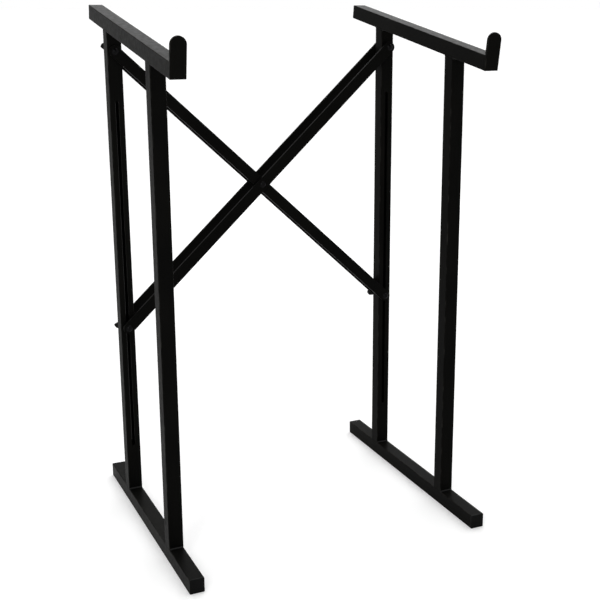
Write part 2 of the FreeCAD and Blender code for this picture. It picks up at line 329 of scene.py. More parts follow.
def finish(name):
    """The material of a look, made the first time that it is asked for."""
    if name in bpy.data.materials:
        return bpy.data.materials[name]
    look = LOOKS[name]
    colour = getattr(bpy.context.scene.mixer_stand.finishes, look.colour)
    material = bpy.data.materials.new(name)
    material.use_nodes = True
    tree = material.node_tree
    shader = tree.nodes["Principled BSDF"]
    points = add_node(tree, "ShaderNodeTexCoord", (-1500, 0)).outputs["Object"]

    clouds = grain(tree, (-1300, 700), points, *look.clouds)
    share = spread(tree, (-1100, 700), clouds, CLOUD_RANGE, (0.0, 1.0))
    dark, light, tint = look.shades
    ground = blend_colours(tree, (-700, 620), share, tone(colour, dark), tone(colour, light, tint))
    # Eased edges lighter in patches: partly wear of the finish, partly a painted highlight
    wear_and_highlight_mask = wear_and_highlight_share(tree, points, *look.rubbing)
    worn = blend_colours(tree, (-450, 480), wear_and_highlight_mask, ground, tone(colour, *look.worn))
    tree.links.new(worn, shader.inputs["Base Color"])

    patches = grain(tree, (-1300, -60), points, *look.patches)
    gloss = spread(tree, (-1100, -60), patches, PATCH_RANGE, look.roughness)
    tree.links.new(gloss, shader.inputs["Roughness"])
    shader.inputs["IOR"].default_value = look.ior

    scale, detail, depth, strength = look.bumps
    bump = add_node(tree, "ShaderNodeBump", (-300, -420))
    bump.inputs["Strength"].default_value = strength
    bump.inputs["Distance"].default_value = depth
    tree.links.new(grain(tree, (-1300, -420), points, scale, detail), bump.inputs["Height"])
    tree.links.new(bump.outputs["Normal"], shader.inputs["Normal"])
    return material


# Shaping

FACING = 0.85
SHARP_ANGLE = 1.2
SMOOTH_ANGLE = 0.6
ROUND_STEPS = 48
HOLE_STEPS = 32
FACE_WEIGHT = 100


def new_shape():
    """An empty mesh to work on, with a layer that marks the faces where the finish is lighter: wear, and
    a painted highlight.
    """
    shape = bmesh.new()
    shape.faces.layers.float.new(WEAR_AND_HIGHLIGHT_LAYER)
    return shape


def mark_wear_and_highlight(shape, faces):
    """Marks faces of a shape as edges where the finish is lighter: wear, and a painted highlight."""
    layer = shape.faces.layers.float[WEAR_AND_HIGHLIGHT_LAYER]
    for face in faces:
        face[layer] = 1.0


def plate(shape, width, height):
    """A flat rectangle in the XY plane, centred on the origin, whose corners are returned."""
    made = bmesh.ops.create_grid(shape, x_segments=1, y_segments=1, size=0.5)
    bmesh.ops.scale(shape, vec=(width, height, 1), verts=made["verts"])
    return made["verts"]


def merge_points(shape):
    """Merges points that lie on each other."""
    bmesh.ops.remove_doubles(shape, verts=shape.verts[:], dist=TINY)


def round_corners(shape, corners, radius, steps):
    """Rounds corners of a flat plate."""
    bmesh.ops.bevel(
        shape, geom=corners, offset=radius, offset_type="OFFSET", segments=steps,
        profile=0.5, affect="VERTICES", material=-1,
    )
    merge_points(shape)


def points_of(geometry):
    """The points in an operator's result."""
    return [item for item in geometry if isinstance(item, bmesh.types.BMVert)]


def faces_of(geometry):
    """The faces in an operator's result."""
    return [item for item in geometry if isinstance(item, bmesh.types.BMFace)]


def outward(shape):
    """Turns every face of a closed shape outwards."""
    bmesh.ops.recalc_face_normals(shape, faces=shape.faces[:])


def thicken(shape, rise):
    """Raises the flat faces of a shape along Z into a closed solid, and returns the raised points."""
    made = bmesh.ops.extrude_face_region(shape, geom=shape.faces[:])
    raised = points_of(made["geom"])
    bmesh.ops.translate(shape, verts=raised, vec=(0, 0, rise))
    outward(shape)
    return raised


def pull(shape, faces, matrix, keep=False):
    """Pulls faces out of a shape by a transform about their middle, and returns the new end's faces."""
    made = bmesh.ops.extrude_face_region(shape, geom=faces)
    if not keep:
        bmesh.ops.delete(shape, geom=faces, context="FACES_ONLY")
    points = points_of(made["geom"])
    middle = sum((point.co for point in points), Vector()) / len(points)
    about = Matrix.Translation(middle) @ matrix @ Matrix.Translation(-middle)
    bmesh.ops.transform(shape, matrix=about, verts=points)
    return faces_of(made["geom"])


def ease_edges(shape, edges, radius, steps):
    """Rounds edges over, and marks them for the lighter tone of wear and a painted highlight."""
    made = bmesh.ops.bevel(
        shape, geom=edges, offset=radius, offset_type="OFFSET", segments=steps,
        profile=0.5, affect="EDGES", material=-1,
    )
    mark_wear_and_highlight(shape, made["faces"])


def sharp_edges(shape):
    """The edges of a shape where its faces turn sharply."""
    return [edge for edge in shape.edges if edge.is_manifold and edge.calc_face_angle() > SHARP_ANGLE]


def sharp_edges_at(shape, height):
    """The sharp edges that lie at one height."""
    found = sharp_edges(shape)
    return [edge for edge in found if all(abs(point.co.z - height) < TINY for point in edge.verts)]


def turned(degrees, axis):
    """A turn about an axis."""
    return Matrix.Rotation(math.radians(degrees), 4, axis)


def move(shape, matrix):
    """Places a whole shape."""
    bmesh.ops.transform(shape, matrix=matrix, verts=shape.verts[:])
    return shape


def lathe(outline, steps=ROUND_STEPS, closed=False):
    """Spins an outline of (radius, height) points about the Z axis."""
    shape = new_shape()
    points = [shape.verts.new((radius, 0, height)) for radius, height in outline]
    ring_points = points + points[:1] if closed else points
    edges = [shape.edges.new(pair) for pair in zip(ring_points, ring_points[1:])]
    bmesh.ops.spin(
        shape, geom=points + edges, cent=(0, 0, 0), axis=(0, 0, 1), dvec=(0, 0, 0),
        angle=math.tau, steps=steps, use_merge=True,
    )
    merge_points(shape)
    outward(shape)
    return shape


def gather(shapes):
    """Brings several shapes into one."""
    whole = new_shape()
    for shape in shapes:
        mesh = bpy.data.meshes.new("work")
        shape.to_mesh(mesh)
        shape.free()
        whole.from_mesh(mesh)
        bpy.data.meshes.remove(mesh)
    return whole


def carve(shape, tool, operation="DIFFERENCE"):
    """Cuts a closed tool out of a closed shape, or keeps only what they share."""
    works = []
    for part in (shape, tool):
        mesh = bpy.data.meshes.new("work")
        part.to_mesh(mesh)
        part.free()
        work = bpy.data.objects.new("work", mesh)
        bpy.context.scene.collection.objects.link(work)
        works.append(work)
    cut = works[0].modifiers.new("cut", "BOOLEAN")
    cut.operation = operation
    cut.solver = "EXACT"
    cut.object = works[1]
    bpy.context.view_layer.update()
    result = bmesh.new()
    result.from_object(works[0], bpy.context.evaluated_depsgraph_get())
    for work in works:
        mesh = work.data
        bpy.data.objects.remove(work)
        bpy.data.meshes.remove(mesh)
    return result


def pin(radius, start, end):
    """A plain round bar along Z, used as a cutting tool."""
    return lathe([(0, start), (radius, start), (radius, end), (0, end)], HOLE_STEPS)


def add_piece(node, kind, shape, body, look=None, smooth=SMOOTH_ANGLE, levels=0):
    """Turns a finished shape into a piece that rides on a body and stands for a CAD node."""
    slot, usual_look = KINDS[kind]
    name = f"{node}_{kind}"
    outward(shape)
    mesh = bpy.data.meshes.new(name)
    shape.to_mesh(mesh)
    shape.free()
    mesh.materials.append(finish(look or usual_look))
    mesh.shade_smooth()
    piece = bpy.data.objects.new(name, mesh)
    bpy.context.scene.collection.objects.link(piece)
    if levels:
        rounder = piece.modifiers.new("Rounding", "SUBSURF")
        rounder.levels = rounder.render_levels = levels
    else:
        mesh.set_sharp_from_angle(angle=smooth)
        even = piece.modifiers.new("Even shading", "WEIGHTED_NORMAL")
        even.keep_sharp = True
        even.weight = FACE_WEIGHT
    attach(piece, body)
    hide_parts(node)


def along_y(x, y, z):
    """Places a shape drawn along Z so that it runs along +Y from a point."""
    return Matrix.Translation((x, y, z)) @ turned(-90, "X")


def on_rail(side):
    """Places a shape drawn with Y along the rail and Z up from its top face."""
    at = (SIDE_X[side], REAR_Y, RAIL_HEIGHT)
    return Matrix.Translation(at) @ Matrix.Rotation(SLOPE, 4, "X")


def rail_underside(y):
    """Height of the rails' underside at a place from front to rear."""
    return RAIL_HEIGHT + (y - REAR_Y) * math.tan(SLOPE) - TUBE / math.cos(SLOPE)


# Pieces of the side frames

INNER_CORNER = 0.4 * MM
CORNER_LEAN = 0.1
SLOT_STEPS = 10
SLOT_EASE = 0.1 * MM
LIP_CROWN_STEPS = 14
LIP_FOOT_CORNER = 0.8 * MM
LIP_FRONT_EASE = 1.1 * MM
LIP_REAR_EASE = 0.5 * MM

# The plugs' stems: how much narrower than the tube's bore they are, and the lengths along them
STEM_GAP = 0.2 * MM
FIN_REACH = 2.4 * MM
FIN_SPACES = (2.9 * MM, 3.1 * MM, 3.1 * MM)
FIN_THICK = 0.9 * MM
STEM_TAIL = 2.2 * MM
FLANGE_EASE = 0.9 * MM

# The weld beads: how much shorter than the tube's width, in corner radii, then shares of their radius
BEAD_SHORTER = 1.6
BEAD_INSET = 0.18
BEAD_SCALLOP = 0.12
BEAD_TAPER = 1.1
BEAD_END = 0.35
BEAD_SIDES = 14
RINGS_PER_RIPPLE = 4
BEAD_SMOOTH = 1.2


def box_tube(length, slope=0.0):
    """Box tube along +Z from the origin, its far end cut on a slope."""
    sizes = bpy.context.scene.mixer_stand.tubes
    shape = new_shape()
    for width, corner in ((TUBE, sizes.corner), (TUBE - 2 * sizes.wall, INNER_CORNER)):
        round_corners(shape, plate(shape, width, width), corner, sizes.corner_steps)
    bmesh.ops.delete(shape, geom=shape.faces[:], context="FACES_ONLY")
    bmesh.ops.bridge_loops(shape, edges=shape.edges[:])
    raised = thicken(shape, length)
    shape.normal_update()
    corners = [f for f in shape.faces if min(abs(f.normal.x), abs(f.normal.y)) > CORNER_LEAN]
    # The rounded corners take the lighter edge tone: wear, and a painted highlight along each corner
    mark_wear_and_highlight(shape, corners)
    shear = Matrix.Identity(4)
    shear[2][1] = math.tan(slope)
    bmesh.ops.transform(shape, matrix=shear, verts=raised)
    return shape


def slot_tool(low, high, radius):
    """A long round-ended tool along Y, to cut a slot through an upright drawn along Z."""
    tool = new_shape()
    round_corners(tool, plate(tool, 2 * radius, high - low), radius, SLOT_STEPS)
    thicken(tool, 2 * TUBE)
    middle = Matrix.Translation((0, TUBE, (low + high) / 2))
    return move(tool, middle @ turned(90, "X"))


def slotted(shape):
    """Cuts the long slot and the pivot hole through a rear upright's front and rear walls."""
    sizes = bpy.context.scene.mixer_stand.tubes
    tool = slot_tool(sizes.slot_bottom - TUBE, sizes.slot_top - TUBE, sizes.slot_radius)
    shape = carve(shape, tool)
    hole = pin(bpy.context.scene.mixer_stand.hardware.bolt_radius + BOLT_GAP, -TUBE, TUBE)
    shape = carve(shape, move(hole, along_y(0, 0, END_AT["upper_left"].z - TUBE)))
    rims = []
    near = 10 * TINY
    for edge in sharp_edges(shape):
        middle = (edge.verts[0].co + edge.verts[1].co) / 2
        if abs(abs(middle.y) - HALF) < near and abs(middle.x) < sizes.slot_radius + near:
            rims.append(edge)
    ease_edges(shape, rims, SLOT_EASE, 2)
    return shape


class STAND_OT_foot_tubes(bpy.types.Operator):
    """Makes the two tubes that lie on the floor"""

    bl_idname = "stand.foot_tubes"
    bl_label = "Foot tubes"

    def execute(self, context):
        for side in SIDES:
            shape = box_tube(FOOT[1].y - FOOT[0].y)
            move(shape, along_y(SIDE_X[side], FOOT[0].y, HALF))
            add_piece(side + "_foot_tube", "coated", shape, side + "_frame")
        return {"FINISHED"}


class STAND_OT_uprights(bpy.types.Operator):
    """Makes the plain front uprights and the slotted rear uprights"""

    bl_idname = "stand.uprights"
    bl_label = "Uprights"

    def execute(self, context):
        for side in SIDES:
            for place, y in (("front", FRONT_Y), ("rear", REAR_Y)):
                shape = box_tube(rail_underside(y) - TUBE, SLOPE)
                if place == "rear":
                    shape = slotted(shape)
                move(shape, Matrix.Translation((SIDE_X[side], y, TUBE)))
                add_piece(f"{side}_{place}_upright", "coated", shape, side + "_frame")
        return {"FINISHED"}


class STAND_OT_top_rails(bpy.types.Operator):
    """Makes the two sloping rails that carry the mixer"""

    bl_idname = "stand.top_rails"
    bl_label = "Top rails"

    def execute(self, context):
        for side in SIDES:
            shape = move(box_tube(RAIL_END - RAIL_START), along_y(0, RAIL_START, -HALF))
            move(shape, on_rail(side))
            add_piece(side + "_top_rail", "coated", shape, side + "_frame")
        return {"FINISHED"}


class STAND_OT_lip_plates(bpy.types.Operator):
    """Makes the round-topped stop plates on the rails' front ends"""

    bl_idname = "stand.lip_plates"
    bl_label = "Lip plates"

    def execute(self, context):
        thick = context.scene.mixer_stand.tubes.lip_thick
        height = LIP_RISE + TUBE
        for side in SIDES:
            shape = new_shape()
            corners = plate(shape, TUBE, height)
            crown = [corner for corner in corners if corner.co.y > 0]
            foot = [corner for corner in corners if corner.co.y < 0]
            round_corners(shape, crown, HALF, LIP_CROWN_STEPS)
            round_corners(shape, [corner for corner in foot if corner.is_valid], LIP_FOOT_CORNER, 3)
            thicken(shape, thick)
            ease_edges(shape, sharp_edges_at(shape, thick), LIP_FRONT_EASE, 4)
            ease_edges(shape, sharp_edges_at(shape, 0), LIP_REAR_EASE, 2)
            stand = Matrix.Translation((0, RAIL_START, LIP_RISE - height / 2))
            move(shape, stand @ turned(90, "X"))
            move(shape, on_rail(side))
            add_piece(side + "_lip_plate", "coated", shape, side + "_frame")
        return {"FINISHED"}


def end_plug():
    """A plastic plug along +Z: an eased flange above Z = 0, and a finned stem below it."""
    sizes = bpy.context.scene.mixer_stand.tubes
    fin = TUBE - 2 * sizes.wall - STEM_GAP
    core = fin - FIN_REACH
    shape = new_shape()
    round_corners(shape, plate(shape, TUBE, TUBE), sizes.corner, sizes.corner_steps)
    thicken(shape, FLANGE)
    ease_edges(shape, sharp_edges_at(shape, FLANGE), FLANGE_EASE, 4)
    shape.normal_update()
    tip = [face for face in shape.faces if face.normal.z < -FACING]
    rings = [(core, 0)]
    for space in FIN_SPACES:
        rings += [(core, space), (fin, 0), (fin, FIN_THICK), (core, 0)]
    rings.append((core, STEM_TAIL))
    size = TUBE
    for width, drop in rings:
        scale = Matrix.Diagonal((width / size, width / size, 1, 1))
        tip = pull(shape, tip, Matrix.Translation((0, 0, -drop)) @ scale)
        size = width
    return shape


class STAND_OT_end_plugs(bpy.types.Operator):
    """Makes the plastic plugs in the open ends of the feet and rails"""

    bl_idname = "stand.end_plugs"
    bl_label = "End plugs"

    def execute(self, context):
        for side in SIDES:
            x = SIDE_X[side]
            places = {
                "foot_front_plug": Matrix.Translation((x, FOOT[0].y, HALF)) @ turned(90, "X"),
                "foot_rear_plug": along_y(x, FOOT[1].y, HALF),
                "rail_plug": on_rail(side) @ along_y(0, RAIL_END, -HALF),
            }
            for place, matrix in places.items():
                shape = move(end_plug(), matrix)
                add_piece(f"{side}_{place}", "moulded", shape, side + "_frame")
        return {"FINISHED"}


def weld_bead(length, radius, ripples):
    """A rippled bead along Z, tapered at both ends."""
    shape = new_shape()
    rings = ripples * RINGS_PER_RIPPLE

    def size(ring_number):
        along = ring_number / rings
        scallop = 1 - BEAD_SCALLOP + BEAD_SCALLOP * abs(math.sin(math.pi * ripples * along))
        from_end = min(along, 1 - along) * length
        taper = min(1.0, (from_end + BEAD_END * radius) / (BEAD_TAPER * radius))
        return radius * scallop * math.sqrt(taper)

    bmesh.ops.create_circle(shape, cap_ends=True, segments=BEAD_SIDES, radius=size(0))
    tip = shape.faces[:]
    for number in range(1, rings + 1):
        factor = size(number) / size(number - 1)
        step = Matrix.Translation((0, 0, length / rings)) @ Matrix.Diagonal((factor, factor, 1, 1))
        tip = pull(shape, tip, step, keep=number == 1)
    return move(shape, Matrix.Translation((0, 0, -length / 2)))


class STAND_OT_weld_beads(bpy.types.Operator):
    """Makes the weld beads in front of and behind each upright"""

    bl_idname = "stand.weld_beads"
    bl_label = "Weld beads"

    def execute(self, context):
        sizes = context.scene.mixer_stand.tubes
        length = TUBE - BEAD_SHORTER * sizes.corner
        inset = BEAD_INSET * sizes.bead_radius
        for side in SIDES:
            beads = []
            for axis_y in (REAR_Y, FRONT_Y):
                for facing in (-1, 1):
                    y = axis_y + facing * HALF
                    for z, lift in ((TUBE, 1), (rail_underside(y), -1)):
                        bead = weld_bead(length, sizes.bead_radius, sizes.bead_ripples)
                        at = Vector((SIDE_X[side], y + facing * inset, z + lift * inset))
                        beads.append(move(bead, Matrix.Translation(at) @ turned(90, "Y")))
            add_piece(
                side + "_welds", "coated", gather(beads), side + "_frame",
                look="coat_over_welds", smooth=BEAD_SMOOTH,
            )
        return {"FINISHED"}


# Pieces of the braces

BAR_EASE = 0.35 * MM
BAR_END_STEPS = 12
RING_EASE = 0.4 * MM

# The bolts: the head's rim and bevel, the depth of the thread's core and of its ridge, and the lengths
# of the run-out, the lead before the ridge, its stop before the tip, the tip's bevel and how far the
# thread starts inside the rear bar
HEAD_RIM = 0.6 * MM
HEAD_BEVEL = 0.25 * MM
DOME_STEPS = 12
CORE_DEPTH = 0.55 * MM
RIDGE_DEPTH = 0.6 * MM
RUN_OUT = 0.6 * MM
RIDGE_LEAD = 0.3 * MM
RIDGE_STOP = 0.9 * MM
TIP_BEVEL = 0.5 * MM
THREAD_INSET = 1 * MM

# Half the ridge's width at its root and at its crest, in shares of the pitch
ROOT_SHARE = 0.44
CREST_SHARE = 0.07
TURN_STEPS = 28

# The hexagonal nut: the bevel's circle as a share of the flats' width, its angle, how far the cutting
# barrel overshoots, and the depth of the bore's mouths
BEVEL_SHARE = 0.97
BEVEL_ANGLE = 30
BARREL_STEPS = 72
OVERSHOOT = 0.3 * MM
NUT_MOUTH = 0.5 * MM
NUT_SMOOTH = 0.4

# The wing nuts' cages: the hub, its bore and rings, and each wing's steps, as out, up and height factor
WING_TURN = {"upper_left": 46, "upper_right": -43, "lower_left": -45, "lower_right": -10}
HUB_RADIUS = 7.2 * MM
HUB_SIDES = 12
HUB_BORE_GAP = 0.25 * MM
HUB_LEVELS = (1.0 * MM, 4.8 * MM, 8.7 * MM)
HUB_WALL = 5 * MM
MOUTH_REACH = 0.3 * MM
SEAT_CREASE = 0.9
MOUTH_CREASE = 0.8
WING_STEPS = (
    (1.0 * MM, 0.4 * MM, 1.0),
    (2.9 * MM, 2.2 * MM, 0.98),
    (2.9 * MM, 2.4 * MM, 1.0),
    (1.9 * MM, 1.2 * MM, 0.92),
)
WING_FLARE = 1.03
WING_TIP = (0.5 * MM, 0.3 * MM, 0.7)


def brace_bar(thick):
    """A round-ended flat bar in the XY plane, its upper hole at the origin, with eased edges."""
    radius = bpy.context.scene.mixer_stand.hardware.bolt_radius + BOLT_GAP
    shape = new_shape()
    corners = plate(shape, BAR_WIDTH, BAR_LENGTH + BAR_WIDTH)
    round_corners(shape, corners, BAR_WIDTH / 2, BAR_END_STEPS)
    thicken(shape, thick)
    ease_edges(shape, sharp_edges(shape), BAR_EASE, 3)
    move(shape, Matrix.Translation((0, -BAR_LENGTH / 2, 0)))
    for down in (0, BAR_LENGTH / 2, BAR_LENGTH):
        hole = pin(radius, -thick, 2 * thick)
        shape = carve(shape, move(hole, Matrix.Translation((0, -down, 0))))
    return shape


class STAND_OT_brace_bars(bpy.types.Operator):
    """Makes the four flat bars of the two crossing braces"""

    bl_idname = "stand.brace_bars"
    bl_label = "Brace bars"

    def execute(self, context):
        for brace, end, way in (("a", "upper_left", 1), ("b", "upper_right", -1)):
            for place in ("front", "rear"):
                node = f"brace_{brace}_{place}_bar"
                low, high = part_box(node)
                hang = Matrix.Translation((END_AT[end].x, high.y, END_AT[end].z)) @ turned(90, "X")
                lean = Matrix.Rotation(way * BAR_ANGLE, 4, "Z")
                shape = move(brace_bar(high.y - low.y), hang @ lean)
                add_piece(node, "coated", shape, "brace_" + brace)
        return {"FINISHED"}


def thread(start, end):
    """A helical ridge along Z, standing on a bolt's core."""
    sizes = bpy.context.scene.mixer_stand.hardware
    pitch = sizes.thread_pitch
    crest = sizes.bolt_radius
    root = crest - RIDGE_DEPTH
    turns = max(1, int((end - start) / pitch))
    shape = new_shape()
    section = (
        (root, -ROOT_SHARE * pitch), (crest, -CREST_SHARE * pitch),
        (crest, CREST_SHARE * pitch), (root, ROOT_SHARE * pitch),
    )
    points = [shape.verts.new((radius, 0, start + height)) for radius, height in section]
    face = shape.faces.new(points)
    bmesh.ops.spin(
        shape, geom=points + face.edges[:] + [face], cent=(0, 0, 0), axis=(0, 0, 1),
        dvec=(0, 0, pitch / TURN_STEPS), angle=math.tau * turns, steps=TURN_STEPS * turns,
        use_merge=False,
    )
    outward(shape)
    return shape


def bolt(tail, thread_start):
    """A domed bolt along Z: its head below the seat at Z = 0, its threaded tail above."""
    sizes = bpy.context.scene.mixer_stand.hardware
    radius, head = sizes.bolt_radius, sizes.head_radius
    core = radius - CORE_DEPTH
    rise = sizes.head_height - HEAD_RIM
    ball = (head * head + rise * rise) / (2 * rise)
    sweep = math.asin(head / ball)
    outline = [(0, -sizes.head_height)]
    for step in range(1, DOME_STEPS + 1):
        angle = sweep * step / DOME_STEPS
        outline.append((ball * math.sin(angle), ball - sizes.head_height - ball * math.cos(angle)))
    outline += [
        (head, -HEAD_BEVEL), (head - HEAD_BEVEL, 0), (radius, 0),
        (radius, thread_start - RUN_OUT), (core, thread_start),
        (core, tail - TIP_BEVEL), (core - TIP_BEVEL, tail), (0, tail),
    ]
    return [lathe(outline), thread(thread_start + RIDGE_LEAD, tail - RIDGE_STOP)]


class STAND_OT_bolts(bpy.types.Operator):
    """Makes the five domed bolts of the braces"""

    bl_idname = "stand.bolts"
    bl_label = "Bolts"

    def execute(self, context):
        sizes = context.scene.mixer_stand.hardware
        places = []
        for end in ENDS:
            nut_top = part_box(end + "_wing_nut")[0].y - REAR_Y + sizes.hub_height
            places.append((BRACE_OF[end], END_AT[end], nut_top))
        places.append(("b", CROSSING, SEAT["b"] + NUT_HEIGHT))
        sets = {"a": [], "b": []}
        for brace, at, nut_top in places:
            seat = SEAT[brace]
            for shape in bolt(seat + nut_top + sizes.bolt_tail, 2 * seat - THREAD_INSET):
                sets[brace].append(move(shape, along_y(at.x, REAR_Y - seat, at.z)))
        for brace, shapes in sets.items():
            add_piece(f"brace_{brace}_bolts", "plated", gather(shapes), "brace_" + brace)
        return {"FINISHED"}


def ring(bore, start, end):
    """A spacer or sleeve along Z with eased rims."""
    radius = bpy.context.scene.mixer_stand.hardware.ring_radius
    outline = [
        (bore, start), (radius - RING_EASE, start), (radius, start + RING_EASE),
        (radius, end - RING_EASE), (radius - RING_EASE, end), (bore, end),
    ]
    return lathe(outline, closed=True)


class STAND_OT_spacers(bpy.types.Operator):
    """Makes the spacer rings of the outer brace and the sleeve at the crossing"""

    bl_idname = "stand.spacers"
    bl_label = "Spacers and sleeve"

    def execute(self, context):
        bore = context.scene.mixer_stand.hardware.bolt_radius + BOLT_GAP
        near, far = INNER["a"], INNER["b"]
        rings = []
        for end in ("upper_right", "lower_left"):
            place = along_y(END_AT[end].x, REAR_Y, END_AT[end].z)
            for start, stop in ((-far, -near), (near, far)):
                rings.append(move(ring(bore, start, stop), place))
        add_piece("brace_b_spacers", "plated", gather(rings), "brace_b")
        place = along_y(CROSSING.x, REAR_Y, CROSSING.z)
        sleeve = move(ring(bore + BOLT_GAP, -near, near), place)
        add_piece("crossing_sleeve", "plated", sleeve, "brace_a")
        return {"FINISHED"}


class STAND_OT_crossing_nut(bpy.types.Operator):
    """Makes the hexagonal nut behind the crossing"""

    bl_idname = "stand.crossing_nut"
    bl_label = "Crossing nut"

    def execute(self, context):
        sizes = context.scene.mixer_stand.hardware
        corner = sizes.nut_size / math.sqrt(3)
        flat = sizes.nut_size / 2 * BEVEL_SHARE
        fall = math.tan(math.radians(BEVEL_ANGLE))
        drop = (corner - flat) * fall
        wide, narrow = corner + OVERSHOOT / fall, flat - OVERSHOOT / fall
        shape = new_shape()
        bmesh.ops.create_circle(shape, cap_ends=True, segments=6, radius=corner)
        move(shape, turned(30, "Z"))
        thicken(shape, NUT_HEIGHT)
        top = NUT_HEIGHT + OVERSHOOT
        barrel = lathe(
            [(0, -OVERSHOOT), (narrow, -OVERSHOOT), (wide, drop + OVERSHOOT),
             (wide, NUT_HEIGHT - drop - OVERSHOOT), (narrow, top), (0, top)],
            BARREL_STEPS,
        )
        # Half a step round, the barrel's lines miss the corners of the hexagon
        half_step = Matrix.Rotation(math.pi / BARREL_STEPS, 4, "Z")
        shape = carve(shape, move(barrel, half_step), "INTERSECT")
        bore = sizes.bolt_radius
        mouth = bore + NUT_MOUTH + MM
        tool = lathe([
            (0, -MM), (mouth, -MM), (bore, NUT_MOUTH),
            (bore, NUT_HEIGHT - NUT_MOUTH), (mouth, NUT_HEIGHT + MM), (0, NUT_HEIGHT + MM),
        ])
        shape = carve(shape, tool)
        move(shape, along_y(CROSSING.x, NUT[0].y, CROSSING.z) @ turned(30, "Z"))
        add_piece("crossing_nut", "plated", shape, "brace_b", smooth=NUT_SMOOTH)
        return {"FINISHED"}


def wing_nut():
    """A moulded wing nut along Z: a round hub with two thick rising wings, as a cage to be rounded."""
    top = bpy.context.scene.mixer_stand.hardware.hub_height
    bore = bpy.context.scene.mixer_stand.hardware.bolt_radius + HUB_BORE_GAP
    shape = new_shape()
    crease = shape.edges.layers.float.new("crease_edge")
    bmesh.ops.create_circle(shape, cap_ends=True, segments=HUB_SIDES, radius=HUB_RADIUS)
    move(shape, turned(180 / HUB_SIDES, "Z"))
    middle = shape.faces[:]
    bmesh.ops.inset_region(
        shape, faces=middle, thickness=HUB_RADIUS - bore, use_even_offset=False, use_boundary=True
    )
    bmesh.ops.delete(shape, geom=middle, context="FACES")
    thicken(shape, top)
    for height in HUB_LEVELS:
        everything = shape.verts[:] + shape.edges[:] + shape.faces[:]
        bmesh.ops.bisect_plane(shape, geom=everything, plane_co=(0, 0, height), plane_no=(0, 0, 1))
    for edge in shape.edges:
        heights = [point.co.z for point in edge.verts]
        reach = max(point.co.xy.length for point in edge.verts)
        level = abs(heights[0] - heights[1]) < TINY
        if level and min(heights) < TINY:
            edge[crease] = SEAT_CREASE
        elif level and reach < bore + MOUTH_REACH and max(heights) > top - TINY:
            edge[crease] = MOUTH_CREASE
    shape.normal_update()
    tip_out, tip_up, tip_scale = WING_TIP
    for way in (1, -1):
        tip = []
        for face in shape.faces:
            centre = face.calc_center_median()
            within = HUB_LEVELS[0] < centre.z < HUB_LEVELS[-1]
            if way * face.normal.x > FACING and within and centre.xy.length > HUB_WALL:
                tip.append(face)
        for out, up, scale in WING_STEPS:
            shift = Matrix.Translation((way * out, 0, up))
            tip = pull(shape, tip, shift @ Matrix.Diagonal((1, WING_FLARE, scale, 1)))
        shift = Matrix.Translation((way * tip_out, 0, tip_up))
        pull(shape, tip, shift @ Matrix.Diagonal((1, tip_scale, tip_scale, 1)))
    return shape


class STAND_OT_wing_nuts(bpy.types.Operator):
    """Makes the four wing nuts that clamp the ends of the braces"""

    bl_idname = "stand.wing_nuts"
    bl_label = "Wing nuts"

    def execute(self, context):
        for end in ENDS:
            node = end + "_wing_nut"
            at = (END_AT[end].x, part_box(node)[0].y, END_AT[end].z)
            place = Matrix.Translation(at) @ turned(WING_TURN[end], "Y") @ turned(-90, "X")
            add_piece(node, "moulded", move(wing_nut(), place), node, levels=2)
        return {"FINISHED"}


# Stage

FLOOR_REACH = 150
FLOOR_LIFT = 0.25
WORLD_SPAN = (-0.8, 0.8)
WORLD_LIGHT = (0.25, 0.6)
STAND_MIDDLE = Vector((0, 0, 0.5))

# The camera as fitted to the photograph's edges: metres, degrees and millimetres
CAMERA_AT = (-0.71854, -1.73754, 0.91001)
CAMERA_YAW = 25.574
CAMERA_PITCH = 14.470
CAMERA_ROLL = 0.166
CAMERA_LENS = 64.81
CAMERA_SENSOR = 36
CAMERA_SHIFT = (-0.0721, -0.0301)


def add_light(name, lamp, aim):
    """A light that faces along a direction."""
    made = bpy.data.objects.new(name, lamp)
    made.rotation_euler = aim.to_track_quat("-Z", "Y").to_euler()
    bpy.context.scene.collection.objects.link(made)
    return made


def add_softbox(name, place, size, watts):
    """A soft rectangular lamp that faces the middle of the stand."""
    lamp = bpy.data.lights.new(name, "AREA")
    lamp.shape = "RECTANGLE"
    lamp.size, lamp.size_y = size
    lamp.energy = watts
    made = add_light(name, lamp, STAND_MIDDLE - Vector(place))
    made.location = place
    made.visible_camera = False


def add_soft_sun(name, aim, strength, angle):
    """An even soft light from one side, the same all over the floor."""
    lamp = bpy.data.lights.new(name, "SUN")
    lamp.energy = strength
    lamp.angle = math.radians(angle)
    add_light(name, lamp, Vector(aim))


def seen_share(tree, place):
    """1 for what is seen, in the open, in a gloss or through glass, and 0 for light on the stand."""
    x, y = place
    path = add_node(tree, "ShaderNodeLightPath", (x - 600, y)).outputs
    bare = combine(tree, (x - 400, y), "MAXIMUM", path["Is Camera Ray"], path["Is Glossy Ray"])
    return combine(tree, (x - 200, y), "MAXIMUM", bare, path["Is Transmission Ray"])


def floor_finish(colour):
    """Pale floor that looks white and keeps the stand's shadow."""
    material = bpy.data.materials.new("pale_floor")
    material.use_nodes = True
    tree = material.node_tree
    tree.nodes.remove(tree.nodes["Principled BSDF"])
    output = tree.nodes["Material Output"]
    matt = add_node(tree, "ShaderNodeBsdfDiffuse", (-300, 100))
    matt.inputs["Color"].default_value = (*colour, 1)
    glow = add_node(tree, "ShaderNodeEmission", (-300, -100))
    lift = combine(tree, (-500, -100), "MULTIPLY", seen_share(tree, (-700, -100)), FLOOR_LIFT)
    tree.links.new(lift, glow.inputs["Strength"])
    both = add_node(tree, "ShaderNodeAddShader", (-100, 0))
    tree.links.new(matt.outputs["BSDF"], both.inputs[0])
    tree.links.new(glow.outputs["Emission"], both.inputs[1])
    tree.links.new(both.outputs["Shader"], output.inputs["Surface"])
    return material


